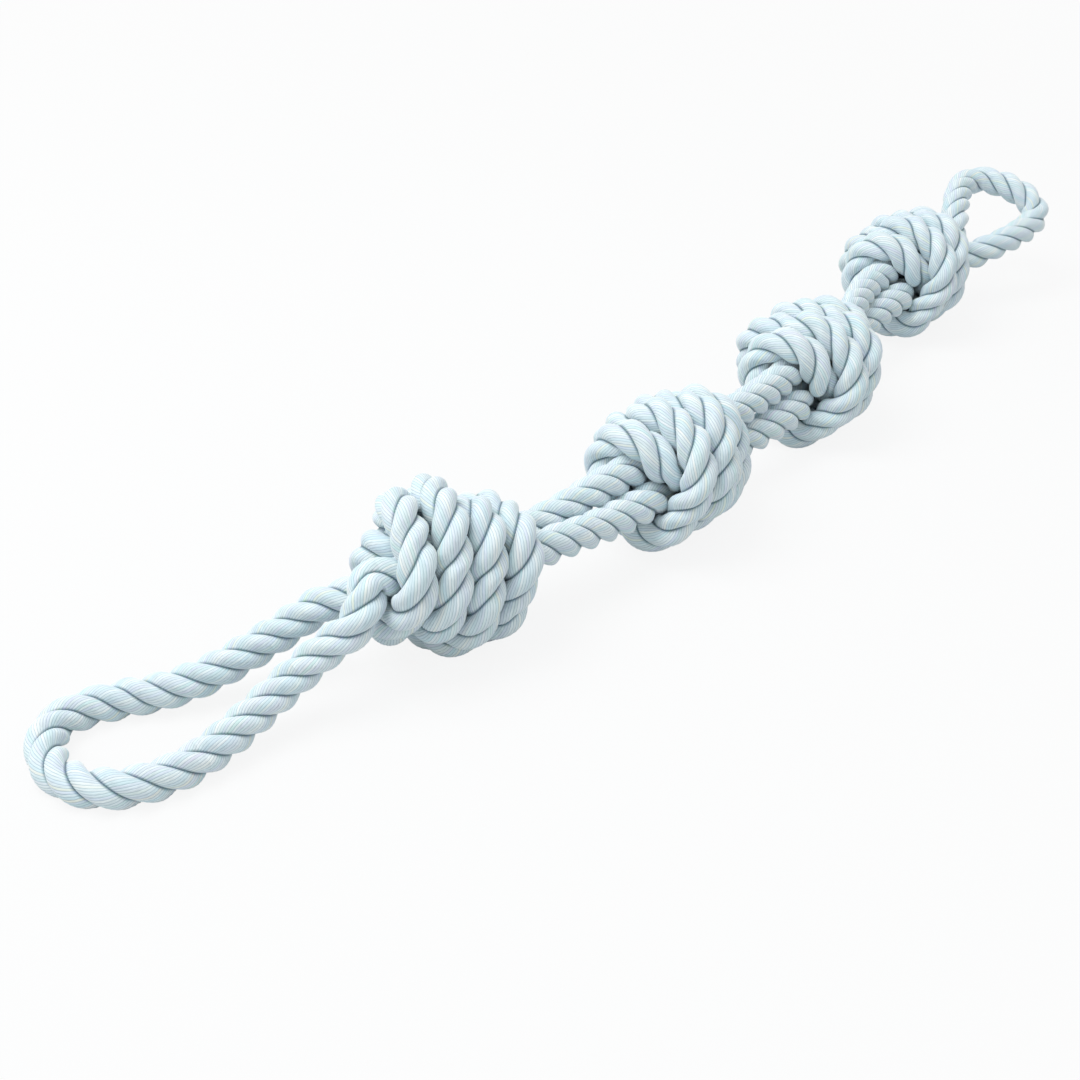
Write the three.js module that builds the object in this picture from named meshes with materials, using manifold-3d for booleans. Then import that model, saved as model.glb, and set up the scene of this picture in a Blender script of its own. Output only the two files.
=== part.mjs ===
// A rope dog toy: one three-strand cotton rope laid double, tied in four double overhand
// knots, with a long hand loop left at the near end and a short loop at the far end.
// Millimetres, +Z up, +X from the hand loop to the far loop, standing on z = 0.

import * as THREE from 'three';
import * as BufferGeometryUtils from 'three/addons/utils/BufferGeometryUtils.js';
import Module from 'manifold-3d';

// The rope
const ROPE = 18;                   // diameter of the laid rope where it lies free
const KNOT_PRESS = 18;             // between the middles of two lengths pressed together in a knot
const CLEARANCE = 0.6;             // kept between two lengths that lie against each other
const BUTT_GAP = 0.4;              // left open where two lengths meet end to end
const FLAT_DEPTH = ROPE / 10;      // how far the rope is pressed flat where it stands
const RING_STEP = 8;               // along the rope, from one ring of corners to the next
const RING_CORNERS = 7;

// The chain of knots, from the hand loop to the far loop; headings and rolls in degrees
const KNOTS = [
  { name: 'knot_1', heading: -10, roll: 246 },
  { name: 'knot_2', heading: 0, roll: 330 },
  { name: 'knot_3', heading: 9, roll: 352 },
  { name: 'knot_4', heading: 6, roll: 334 },
];
const SPANS = [
  { name: 'span_12', heading: -3, length: 67.5 },
  { name: 'span_23', heading: 9, length: 60 },
  { name: 'span_34', heading: 15.5, length: 76 },
];
const EXIT = 2.3 * KNOT_PRESS;     // middle of a knot to where its legs come free
const ROOT_KNOT = 1;

// Routes of the two loops, seen from the knot they leave: out from it, to the +Y side, and up
const NEAR_LOOP = [
  [14, 21, 34], [32, 26, 25], [50, 28, 19], [68, 31, 13.5], [86, 37, 9.5], [106, 46, 7.4],
  [123, 49, 7.2], [136, 45, 7.2], [144, 33, 7.2], [146, 16, 7.2], [139, 0, 7.2], [125, -10, 7.2],
  [106, -13, 7.2], [86, -11, 9.4], [66, -7, 14], [46, -4, 21], [28, -5, 31], [13, -8, 40],
];
const NEAR_FOLD = 70;              // out from the knot, where the hand loop's legs end and its bight starts
const FAR_LOOP = [
  [10, -3, 45], [26, 3, 54], [47, 11, 60], [65, 12, 62], [74, 2, 62], [76, -13, 60],
  [76, -26, 55], [71, -35, 49], [59, -37, 45], [41, -34, 42], [26, -27, 38], [12, -15, 32],
];

// The double overhand knot before it is drawn tight, in units of KNOT_PRESS
const TURN_RADIUS = 1.75;          // middle of the rope on the inner turns
const RIDER_RADIUS = 2.5;          // and on the turn that rides over them
const TURN_REACH = 1.9;            // along the knot, from its middle to the last inner turn
const RISE = 1.6;                  // along the knot, where a leg starts to rise from the core
const TAIL = 7.2;                  // along the knot, from its middle to the end that is pulled
const POINT_STEP = 0.4;            // along the rope
const DRAW_STEPS = 800;
const DRAW_PULL = 0.014;           // at each end in each step
const DRAW_STRETCH = 1.12;         // the ends are pulled until the rope is this much longer
const STIFFNESS = 0.08;
const DRAW_ROUNDS = 10;            // corrections in each step
const SETTLE_ROUNDS = 300;         // corrections after the last step
const PUSH_FROM = 500;             // the step from which the turns are also pushed together
const PUSH = 0.008;                // along the knot in each round
const CORE = 0.9;                  // out from the knot's middle line to where its turns begin

const COTTON = new THREE.MeshStandardMaterial({ color: 0xc9dce3, roughness: 0.9, metalness: 0 });

const wasm = await Module();
wasm.setup();

const radians = THREE.MathUtils.degToRad;
const vector = (x, y, z) => new THREE.Vector3(x, y, z);

// A list of points along a polyline, evenly spaced, about `step` apart
function evenly(points, step) {
  const along = [0];
  for (let i = 1; i < points.length; i += 1) along.push(along[i - 1] + points[i].distanceTo(points[i - 1]));
  const length = along[along.length - 1];
  const count = Math.round(length / step);
  const result = [];
  let k = 0;
  for (let j = 0; j <= count; j += 1) {
    const s = (length * j) / count;
    while (k < points.length - 2 && along[k + 1] < s) k += 1;
    result.push(points[k].clone().lerp(points[k + 1], (s - along[k]) / (along[k + 1] - along[k])));
  }
  return result;
}

// The knot before it is drawn tight: both ropes side by side along one loose route
function looseKnot() {
  const half = Math.PI;
  const start = -1.5 * half;
  const twist = 0.35 * half;
  const end = TURN_REACH + 0.3;
  const ride = TURN_REACH + 0.2;
  // steps, then from and to: along the knot, turned round it, and out from it
  const legs = [
    [20, -TAIL, -RISE, start - twist, start - twist, 0, 0],
    [10, -RISE, -0.1, start - twist, start, 0, TURN_RADIUS],
    [60, -0.1, end, start, start + 2 * half, TURN_RADIUS, TURN_RADIUS],
    [6, end, ride, start + 2 * half, start + 2.2 * half, TURN_RADIUS, RIDER_RADIUS],
    [24, ride, -ride, start + 2.2 * half, start + 2.8 * half, RIDER_RADIUS, RIDER_RADIUS],
    [6, -ride, -end, start + 2.8 * half, start + 3 * half, RIDER_RADIUS, TURN_RADIUS],
    [60, -end, 0.1, start + 3 * half, start + 5 * half, TURN_RADIUS, TURN_RADIUS],
    [10, 0.1, RISE, start + 5 * half, start + 5 * half + twist, TURN_RADIUS, 0],
    [21, RISE, TAIL, start + 5 * half + twist, start + 5 * half + twist, 0, 0],
  ];
  let middle = [];
  const outward = [];
  for (const [steps, x0, x1, t0, t1, r0, r1] of legs) {
    for (let i = 0; i < steps; i += 1) {
      const f = i / steps;
      const turn = t0 + (t1 - t0) * f;
      const radius = r0 + (r1 - r0) * f;
      const out = vector(0, Math.sin(turn), -Math.cos(turn));
      outward.push(out);
      middle.push(out.clone().multiplyScalar(radius).setX(x0 + (x1 - x0) * f));
    }
  }
  for (let pass = 0; pass < 12; pass += 1) {
    middle = middle.map((p, i) => {
      if (i === 0 || i === middle.length - 1) return p;
      return p.clone().multiplyScalar(2).add(middle[i - 1]).add(middle[i + 1]).multiplyScalar(0.25);
    });
  }
  return [-0.5, 0.5].map((side) => evenly(middle.map((p, i) => {
    const before = middle[Math.max(i - 1, 0)];
    const after = middle[Math.min(i + 1, middle.length - 1)];
    const across = after.clone().sub(before).cross(outward[i]).normalize();
    return p.clone().addScaledVector(across, side);
  }), POINT_STEP));
}

// Draws the knot tight: the four ends are pulled while the ropes keep their length, resist
// bending and press against each other, and then the turns are pushed together
function drawKnot() {
  const ropes = looseKnot();
  const points = ropes.flat();
  const count = points.length;
  const firsts = [0, ropes[0].length];
  const lasts = [ropes[0].length - 1, count - 1];
  const xyz = new Float64Array(count * 3);
  points.forEach((p, i) => p.toArray(xyz, 3 * i));
  const held = (i) => firsts.includes(i) || lasts.includes(i);
  const free = new Float64Array(count).map((_, i) => (held(i) ? 0 : 1));
  const rest = POINT_STEP;
  const distance = (i, j) => Math.hypot(
    xyz[3 * j] - xyz[3 * i], xyz[3 * j + 1] - xyz[3 * i + 1], xyz[3 * j + 2] - xyz[3 * i + 2]);

  const apart = Math.ceil(1.3 / POINT_STEP);
  const reach = 1.8;
  function neighbours() {
    const pairs = [];
    for (let i = 0; i < count; i += 1) {
      for (let j = i + 1; j < count; j += 1) {
        const sameRope = i < firsts[1] === j < firsts[1];
        if (sameRope && j - i <= apart) continue;
        if (distance(i, j) < reach) pairs.push(i, j);
      }
    }
    return pairs;
  }
  const shift = new Float64Array(count * 3);
  function addContacts(pairs) {
    for (let p = 0; p < pairs.length; p += 2) {
      const [i, j] = [pairs[p], pairs[p + 1]];
      const between = distance(i, j);
      if (between >= 1) continue;
      const push = (0.25 * (1 - between)) / between;
      for (let c = 0; c < 3; c += 1) {
        const move = push * (xyz[3 * j + c] - xyz[3 * i + c]);
        shift[3 * i + c] -= move;
        shift[3 * j + c] += move;
      }
    }
  }
  function applyShift() {
    for (let k = 0; k < shift.length; k += 1) xyz[k] += shift[k] * free[Math.floor(k / 3)];
    shift.fill(0);
  }
  function keepLengths() {
    for (let rope = 0; rope < 2; rope += 1) {
      for (let parity = 0; parity < 2; parity += 1) {
        for (let i = firsts[rope] + parity; i < lasts[rope]; i += 2) {
          const length = distance(i, i + 1);
          const pull = (length - rest) / length / Math.max(free[i] + free[i + 1], 1);
          for (let c = 0; c < 3; c += 1) {
            const move = pull * (xyz[3 * i + 3 + c] - xyz[3 * i + c]);
            xyz[3 * i + c] += move * free[i];
            xyz[3 * i + 3 + c] -= move * free[i + 1];
          }
        }
      }
    }
  }
  function addStiffness() {
    for (let rope = 0; rope < 2; rope += 1) {
      for (let i = firsts[rope] + 1; i < lasts[rope]; i += 1) {
        for (let c = 0; c < 3; c += 1) {
          const k = 3 * i + c;
          const bend = STIFFNESS * (0.5 * (xyz[k - 3] + xyz[k + 3]) - xyz[k]);
          shift[k] += bend;
          shift[k - 3] -= bend / 2;
          shift[k + 3] -= bend / 2;
        }
      }
    }
  }
  // The turns outside the core are pushed together along the knot
  function addPush() {
    for (let i = 0; i < count; i += 1) {
      const out = Math.hypot(xyz[3 * i + 1], xyz[3 * i + 2]);
      const share = THREE.MathUtils.clamp(out - CORE, 0, 1);
      shift[3 * i] -= PUSH * share * THREE.MathUtils.clamp(xyz[3 * i], -1, 1);
    }
  }
  function stretch() {
    let total = 0;
    for (let i = 0; i < lasts[0]; i += 1) total += distance(i, i + 1);
    return total / (rest * lasts[0]);
  }

  let pairs = [];
  for (let step = 0; step < DRAW_STEPS; step += 1) {
    if (step % 10 === 0) pairs = neighbours();
    if (stretch() < DRAW_STRETCH) {
      for (let rope = 0; rope < 2; rope += 1) {
        xyz[3 * firsts[rope]] -= DRAW_PULL;
        xyz[3 * lasts[rope]] += DRAW_PULL;
      }
    }
    for (let round = 0; round < DRAW_ROUNDS; round += 1) {
      keepLengths();
      addStiffness();
      addContacts(pairs);
      if (step >= PUSH_FROM) addPush();
      applyShift();
    }
  }
  pairs = neighbours();
  for (let round = 0; round < SETTLE_ROUNDS; round += 1) {
    addContacts(pairs);
    applyShift();
  }
  const drawn = points.map((_, i) => vector(xyz[3 * i], xyz[3 * i + 1], xyz[3 * i + 2]));
  return [drawn.slice(0, firsts[1]), drawn.slice(firsts[1])];
}

// A smooth curve through some points, cut into even steps
function smooth(points, step) {
  const curve = new THREE.CatmullRomCurve3(points);
  curve.arcLengthDivisions = 8 * points.length;
  return curve.getSpacedPoints(Math.max(Math.round(curve.getLength() / step), 3));
}

// Places the drawn knot along the chain: rolled about its own length, turned to its heading and
// set down so that its lowest rope is pressed flat
const drawn = drawKnot();
const headingOf = (degrees) => vector(Math.cos(radians(degrees)), Math.sin(radians(degrees)), 0);
const standing = (KNOT_PRESS - CLEARANCE) / 2 - FLAT_DEPTH;

function placeKnot(knot) {
  const turn = new THREE.Matrix4().makeRotationZ(radians(knot.heading));
  turn.multiply(new THREE.Matrix4().makeRotationX(radians(knot.roll)));
  const reach = EXIT / KNOT_PRESS;
  const ropes = drawn.map((rope) => {
    const inside = rope.filter((p) => Math.abs(p.x) < reach);
    const before = rope[rope.indexOf(inside[0]) - 1];
    const after = rope[rope.indexOf(inside[inside.length - 1]) + 1];
    const first = before.clone().lerp(inside[0], (-reach - before.x) / (inside[0].x - before.x));
    const end = inside[inside.length - 1];
    const last = end.clone().lerp(after, (reach - end.x) / (after.x - end.x));
    return [first, ...inside, last].map((p) => p.clone().multiplyScalar(KNOT_PRESS).applyMatrix4(turn));
  });
  const lowest = Math.min(...ropes.flat().map((p) => p.z));
  const middle = knot.at.clone().setZ(standing - lowest);
  return ropes.map((rope) => rope.map((p) => p.add(middle)));
}

KNOTS[ROOT_KNOT].at = vector(0, 0, 0);
function stepAlong(from, to, span, way) {
  const step = headingOf(from.heading).add(headingOf(to.heading)).multiplyScalar(EXIT);
  step.addScaledVector(headingOf(span.heading), span.length);
  to.at = from.at.clone().addScaledVector(step, way);
}
for (let k = ROOT_KNOT; k > 0; k -= 1) stepAlong(KNOTS[k], KNOTS[k - 1], SPANS[k - 1], -1);
for (let k = ROOT_KNOT; k < SPANS.length; k += 1) stepAlong(KNOTS[k], KNOTS[k + 1], SPANS[k], 1);
const placed = KNOTS.map(placeKnot);

// From one knot to the next each rope takes the nearer leg
for (let k = 1; k < placed.length; k += 1) {
  const ends = placed[k - 1].map((rope) => rope[rope.length - 1]);
  const straight = ends[0].distanceTo(placed[k][0][0]) + ends[1].distanceTo(placed[k][1][0]);
  const crossed = ends[0].distanceTo(placed[k][1][0]) + ends[1].distanceTo(placed[k][0][0]);
  if (crossed < straight) placed[k].reverse();
}

// A leg that leaves along one length of rope and runs into another
function bridge(from, to) {
  const start = from[from.length - 1];
  const end = to[0];
  const third = start.distanceTo(end) / 3;
  const out = start.clone().sub(from[from.length - 3]).setLength(third).add(start);
  const back = end.clone().sub(to[2]).setLength(third).add(end);
  return new THREE.CubicBezierCurve3(start, out, back, end).getSpacedPoints(8);
}

function loopRoute(knot, way, route) {
  const along = headingOf(knot.heading).multiplyScalar(way);
  const side = headingOf(knot.heading + 90);
  const root = knot.at.clone().addScaledVector(along, EXIT);
  return route.map(([out, across, up]) => root.clone().addScaledVector(along, out)
    .addScaledVector(side, across).setZ(up));
}
// A loop starts at whichever leg lies on the +Y side
function loopFrom(knot, way, route, ropes) {
  const side = headingOf(knot.heading + 90);
  const ends = ropes.map((rope) => (way > 0 ? rope[rope.length - 1] : rope[0]));
  const upper = ends[0].dot(side) > ends[1].dot(side) ? 0 : 1;
  return { first: upper, points: [ends[upper], ...loopRoute(knot, way, route), ends[1 - upper]] };
}
const nearLoop = loopFrom(KNOTS[0], -1, NEAR_LOOP, placed[0]);
const farLoop = loopFrom(KNOTS[KNOTS.length - 1], 1, FAR_LOOP, placed[placed.length - 1]);

// The whole rope as named lengths in their order along it: out of the near loop, through the
// knots on one side, round the far loop and back through the knots on the other side
const letters = ['a', 'b'];
function throughKnots(rope) {
  const lengths = [];
  placed.forEach((ropes, k) => {
    lengths.push({ name: `${KNOTS[k].name}_rope_${letters[rope]}`, points: smooth(ropes[rope], RING_STEP) });
    if (k === SPANS.length) return;
    const leg = bridge(ropes[rope], placed[k + 1][rope]);
    lengths.push({ name: `${SPANS[k].name}_leg_${letters[rope]}`, points: smooth(leg, RING_STEP) });
  });
  return lengths;
}
const backwards = (lengths) => lengths.reverse().map(({ name, points }) => ({ name, points: points.reverse() }));
const nearPoints = smooth(nearLoop.points, RING_STEP);
const nearAlong = headingOf(KNOTS[0].heading);
const nearRoot = KNOTS[0].at.clone().addScaledVector(nearAlong, -EXIT);
const outOf = (p) => nearRoot.clone().sub(p).dot(nearAlong);
const foldStart = nearPoints.findIndex((p) => outOf(p) > NEAR_FOLD);
const foldEnd = nearPoints.findLastIndex((p) => outOf(p) > NEAR_FOLD);
const nearLetters = [letters[nearLoop.first], letters[1 - nearLoop.first]];
const farPoints = smooth(farLoop.points, RING_STEP);
if (farLoop.first === nearLoop.first) farPoints.reverse();
const lengths = [
  { name: 'near_loop_bight', points: nearPoints.slice(foldStart, foldEnd + 1) },
  { name: `near_loop_leg_${nearLetters[1]}`, points: nearPoints.slice(foldEnd) },
  ...throughKnots(1 - nearLoop.first),
  { name: 'far_loop', points: farPoints },
  ...backwards(throughKnots(nearLoop.first)),
  { name: `near_loop_leg_${nearLetters[0]}`, points: nearPoints.slice(0, foldStart + 1) },
];

// The rope's own course, closed on itself, with the direction at each point
const course = lengths.flatMap(({ points }) => points.slice(0, -1));
const at = (i) => course[(i + course.length) % course.length];
const directions = course.map((_, i) => at(i + 1).clone().sub(at(i - 1)).normalize());

// Stands the toy over the origin
const box = new THREE.Box3().setFromPoints(course);
const centre = box.getCenter(vector()).setZ(0);
course.forEach((p) => p.sub(centre));

// How near the rest of the rope comes to each point: the rope is squeezed where it is pressed
const FINE = 4;
const fine = course.flatMap((p, i) => [...Array(FINE).keys()].map((k) => p.clone().lerp(at(i + 1), k / FINE)));
const ownReach = Math.ceil((2 * ROPE) / RING_STEP) * FINE;
const nearest = course.map((p, i) => {
  let best = Infinity;
  for (let j = ownReach; j <= fine.length - ownReach; j += 1) {
    best = Math.min(best, p.distanceTo(fine[(FINE * i + j) % fine.length]));
  }
  return best;
});
const radii = nearest.map((between) => Math.min(ROPE, between - CLEARANCE) / 2);
const gaps = nearest.map((between, i) => between - 2 * radii[i]);
console.log('least gap between two lengths of rope, mm:', Math.min(...gaps).toFixed(2));
console.log('rope, m:', (course.reduce((sum, p, i) => sum + p.distanceTo(at(i + 1)), 0) / 1000).toFixed(2));

// A frame carried along the rope without twist, and the ring of corners at each point
const sides = [];
let side = vector(0, 0, 1);
for (const direction of directions) {
  side = side.clone().addScaledVector(direction, -side.dot(direction)).normalize();
  sides.push(side);
}
function ringAt(i, slide) {
  const k = i % course.length;
  const up = directions[k].clone().cross(sides[k]);
  const middle = course[k].clone().addScaledVector(directions[k], slide);
  return [...Array(RING_CORNERS).keys()].map((corner) => {
    const turn = (2 * Math.PI * corner) / RING_CORNERS;
    return middle.clone()
      .addScaledVector(sides[k], radii[k] * Math.cos(turn))
      .addScaledVector(up, radii[k] * Math.sin(turn));
  });
}

// A closed tube along part of the course
function tube(first, last) {
  const corners = [];
  for (let i = first; i <= last; i += 1) {
    let slide = 0;
    if (i === first) slide = BUTT_GAP / 2;
    if (i === last) slide = -BUTT_GAP / 2;
    corners.push(...ringAt(i, slide));
  }
  const faces = [];
  const rings = last - first + 1;
  for (let ring = 0; ring < rings - 1; ring += 1) {
    for (let corner = 0; corner < RING_CORNERS; corner += 1) {
      const a = ring * RING_CORNERS + corner;
      const b = ring * RING_CORNERS + ((corner + 1) % RING_CORNERS);
      faces.push(a, b, a + RING_CORNERS, b, b + RING_CORNERS, a + RING_CORNERS);
    }
  }
  const end = (rings - 1) * RING_CORNERS;
  for (let corner = 1; corner < RING_CORNERS - 1; corner += 1) {
    faces.push(0, corner + 1, corner, end, end + corner, end + corner + 1);
  }
  const geometry = new THREE.BufferGeometry().setFromPoints(corners);
  geometry.setIndex(faces);
  return geometry;
}

function solidOf(geometry) {
  const bare = geometry.clone();
  bare.deleteAttribute('normal');
  bare.deleteAttribute('uv');
  const merged = BufferGeometryUtils.mergeVertices(bare);
  return new wasm.Manifold(new wasm.Mesh({
    numProp: 3,
    vertProperties: new Float32Array(merged.attributes.position.array),
    triVerts: new Uint32Array(merged.index.array),
  }));
}
function geometryOf(solid) {
  const mesh = solid.getMesh();
  const geometry = new THREE.BufferGeometry();
  geometry.setAttribute('position', new THREE.BufferAttribute(new Float32Array(mesh.vertProperties), 3));
  geometry.setIndex(new THREE.BufferAttribute(new Uint32Array(mesh.triVerts), 1));
  return geometry;
}

// Everything below the floor is pressed away
const floorSize = 4 * box.getSize(vector()).x;
const floor = solidOf(new THREE.BoxGeometry(floorSize, floorSize, ROPE).translate(0, 0, -ROPE / 2));
function standOnFloor(geometry) {
  geometry.computeBoundingBox();
  if (geometry.boundingBox.min.z >= 0) return geometry;
  return geometryOf(solidOf(geometry).subtract(floor));
}

const group = new THREE.Group();
let start = 0;
for (const { name, points } of lengths) {
  const last = start + points.length - 1;
  const geometry = standOnFloor(tube(start, last));
  geometry.computeVertexNormals();
  const mesh = new THREE.Mesh(geometry, COTTON);
  mesh.name = name;
  group.add(mesh);
  start = last;
}

export default group;
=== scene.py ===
"""A rope dog toy: one three-strand cotton rope laid double and tied in four double overhand knots.

The rope's course is worked out as in the part's source: the knot is drawn tight, placed along the
row and joined by short legs and two loops. Three strands are then laid along the course, and cut
into pieces that ride on the knots and on the loops' bights, with pieces between them.
"""

import math

import bmesh
import bpy
import numpy as np
from mathutils import Matrix, Vector


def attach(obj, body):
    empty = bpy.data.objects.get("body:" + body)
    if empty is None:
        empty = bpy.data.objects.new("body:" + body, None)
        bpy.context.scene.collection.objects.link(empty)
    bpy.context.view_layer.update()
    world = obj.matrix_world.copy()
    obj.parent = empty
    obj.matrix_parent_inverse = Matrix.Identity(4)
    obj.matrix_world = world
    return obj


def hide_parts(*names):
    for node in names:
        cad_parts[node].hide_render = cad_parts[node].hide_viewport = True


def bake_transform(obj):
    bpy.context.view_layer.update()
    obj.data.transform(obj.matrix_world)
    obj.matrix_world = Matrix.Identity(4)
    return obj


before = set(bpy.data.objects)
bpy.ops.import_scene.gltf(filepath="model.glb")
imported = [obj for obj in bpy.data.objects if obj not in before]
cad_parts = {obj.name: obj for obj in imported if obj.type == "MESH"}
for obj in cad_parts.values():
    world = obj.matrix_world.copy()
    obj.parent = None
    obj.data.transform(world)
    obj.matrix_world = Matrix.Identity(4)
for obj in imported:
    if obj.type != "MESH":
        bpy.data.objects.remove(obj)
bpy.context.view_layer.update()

MM = 0.001

# The rope, in millimetres
ROPE = 18.0
KNOT_PRESS = 18.0
CLEARANCE = 0.6
FLAT_DEPTH = ROPE / 10
RING_STEP = 8.0
RINGS_PER_STEP = 4
SAMPLES_PER_POINT = 8
FLOOR_GAP = 0.2

# The row of knots, from the hand loop to the far loop: heading and roll in degrees; then the legs
# between them: heading and length
KNOTS = [("knot_1", -10, 246), ("knot_2", 0, 330), ("knot_3", 9, 352), ("knot_4", 6, 334)]
SPANS = [("span_12", -3, 67.5), ("span_23", 9, 60), ("span_34", 15.5, 76)]
EXIT = 2.3 * KNOT_PRESS
ROOT_KNOT = 1
LEG_SAMPLES = 200
LEG_PARTS = 8

# Routes of the two loops, seen from the knot they leave: out from it, to the +Y side, and up
NEAR_LOOP = [
    (14, 21, 34), (32, 26, 25), (50, 28, 19), (68, 31, 13.5), (86, 37, 9.5), (106, 46, 7.4),
    (123, 49, 7.2), (136, 45, 7.2), (144, 33, 7.2), (146, 16, 7.2), (139, 0, 7.2), (125, -10, 7.2),
    (106, -13, 7.2), (86, -11, 9.4), (66, -7, 14), (46, -4, 21), (28, -5, 31), (13, -8, 40),
]
NEAR_FOLD = 70.0
FAR_LOOP = [
    (10, -3, 45), (26, 3, 54), (47, 11, 60), (65, 12, 62), (74, 2, 62), (76, -13, 60),
    (76, -26, 55), (71, -35, 49), (59, -37, 45), (41, -34, 42), (26, -27, 38), (12, -15, 32),
]

# The double overhand knot before it is drawn tight, in units of KNOT_PRESS
TURN_RADIUS = 1.75
RIDER_RADIUS = 2.5
TURN_REACH = 1.9
RISE = 1.6
TAIL = 7.2
POINT_STEP = 0.4
DRAW_STEPS = 800
DRAW_PULL = 0.014
DRAW_STRETCH = 1.12
STIFFNESS = 0.08
PUSH_FROM = 500
PUSH = 0.008
CORE = 0.9
CONTACT_SHARE = 0.25
OWN_REACH = 1.3
SEARCH_REACH = 1.8
SEARCH_EVERY = 10
SMOOTH_ROUNDS = 12
DRAW_ROUNDS = 10
SETTLE_ROUNDS = 300

# Where the rope lies against itself: lengths in millimetres or rings, and thickness as a share
OWN_LENGTH = 2 * ROPE
BESIDE = 1.3 * ROPE
PRESSED_IN = 1.2
THINNEST, FULLEST = 0.85, 1.06
THICKNESS_SPREAD = 3
BEND_SPREAD = 9

# The three strands and their yarns: lengths in millimetres, and how far they open and turn back
STRANDS = 3
LAY_LENGTH = 2.1 * ROPE
LAY_OPENING = 0.27
STRAND_OFFSET = 0.22 * ROPE
STRAND_RADIUS = 0.283 * ROPE
YARNS = 24
COLUMNS_PER_YARN = 3
YARN_DEPTH = 0.2
YARN_TURNS = 0.88
SAME_POINT = 0.001

# The look of the yarns: fibres and patches for each yarn across or metre along, and mixing shares,
# with the painted shade on the lines between yarns and in the creases between strands
FIBRE_SLANT = 214.0
FIBRE_ACROSS = 3.5
FIBRE_ALONG = 160.0
PATCH_ALONG = 45.0
PATCH_SHARE = 0.25
# Painted shade on the line between two yarns: its colour and mixing share
PAINTED_LINE_SHADE_COLOUR, PAINTED_LINE_SHADE = "#86A6B5", 0.6
# Painted shade in the crease between two strands: its colour and mixing share
PAINTED_CREASE_SHADE_COLOUR, PAINTED_CREASE_SHADE = "#466F80", 0.95


def unit(v):
    return v / np.linalg.norm(v, axis=-1, keepdims=True)


def heading_of(degrees):
    return np.array([math.cos(math.radians(degrees)), math.sin(math.radians(degrees)), 0.0])


def along(points):
    steps = np.linalg.norm(np.diff(points, axis=0), axis=1)
    return np.concatenate([[0.0], np.cumsum(steps)])


def evenly(points, step):
    """Points along a polyline, evenly spaced, about one step apart."""
    distance = along(points)
    count = int(distance[-1] / step + 0.5)
    wanted = np.linspace(0, distance[-1], count + 1)
    return np.column_stack([np.interp(wanted, distance, points[:, c]) for c in range(3)])


def catmull_rom(p0, p1, p2, p3, t):
    """A centripetal curve from p1 to p2; every argument holds one row for each point wanted."""
    gaps = ((p0, p1), (p1, p2), (p2, p3))
    d0, d1, d2 = [np.linalg.norm(b - a, axis=1)[:, None] ** 0.5 for a, b in gaps]
    start = ((p1 - p0) / d0 - (p2 - p0) / (d0 + d1) + (p2 - p1) / d1) * d1
    end = ((p2 - p1) / d1 - (p3 - p1) / (d1 + d2) + (p3 - p2) / d2) * d1
    t = t[:, None]
    square = 3 * (p2 - p1) - 2 * start - end
    cube = 2 * (p1 - p2) + start + end
    return p1 + t * (start + t * (square + t * cube))


def smooth(points, step):
    """A smooth curve through some points, cut into even steps."""
    padded = np.vstack([2 * points[:1] - points[1:2], points, 2 * points[-1:] - points[-2:-1]])
    last = len(points) - 1

    def at(u):
        segment = np.minimum(np.floor(u).astype(int), last - 1)
        return catmull_rom(*[padded[segment + k] for k in range(4)], u - segment)

    samples = np.linspace(0, last, SAMPLES_PER_POINT * len(points) + 1)
    distance = along(at(samples))
    count = max(int(distance[-1] / step + 0.5), 3)
    return at(np.interp(np.linspace(0, distance[-1], count + 1), distance, samples))


def loose_knot():
    """Both ropes side by side along one loose route."""
    half = math.pi
    start = -1.5 * half
    twist = 0.35 * half
    end = TURN_REACH + 0.3
    ride = TURN_REACH + 0.2
    # steps, then from and to: along the knot, turned round it, and out from it
    legs = [
        (20, -TAIL, -RISE, start - twist, start - twist, 0, 0),
        (10, -RISE, -0.1, start - twist, start, 0, TURN_RADIUS),
        (60, -0.1, end, start, start + 2 * half, TURN_RADIUS, TURN_RADIUS),
        (6, end, ride, start + 2 * half, start + 2.2 * half, TURN_RADIUS, RIDER_RADIUS),
        (24, ride, -ride, start + 2.2 * half, start + 2.8 * half, RIDER_RADIUS, RIDER_RADIUS),
        (6, -ride, -end, start + 2.8 * half, start + 3 * half, RIDER_RADIUS, TURN_RADIUS),
        (60, -end, 0.1, start + 3 * half, start + 5 * half, TURN_RADIUS, TURN_RADIUS),
        (10, 0.1, RISE, start + 5 * half, start + 5 * half + twist, TURN_RADIUS, 0),
        (21, RISE, TAIL, start + 5 * half + twist, start + 5 * half + twist, 0, 0),
    ]
    middle = []
    outward = []
    for steps, x0, x1, turn0, turn1, radius0, radius1 in legs:
        f = np.arange(steps) / steps
        turn = turn0 + (turn1 - turn0) * f
        radius = radius0 + (radius1 - radius0) * f
        out = np.column_stack([np.zeros(steps), np.sin(turn), -np.cos(turn)])
        outward.append(out)
        middle.append(out * radius[:, None] + np.outer(x0 + (x1 - x0) * f, [1, 0, 0]))
    middle = np.vstack(middle)
    outward = np.vstack(outward)
    for _ in range(SMOOTH_ROUNDS):
        middle[1:-1] = (2 * middle[1:-1] + middle[:-2] + middle[2:]) / 4
    way = np.vstack([
        middle[1:2] - middle[:1], middle[2:] - middle[:-2], middle[-1:] - middle[-2:-1],
    ])
    across = unit(np.cross(way, outward))
    return [evenly(middle + side * across, POINT_STEP) for side in (-0.5, 0.5)]


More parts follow.
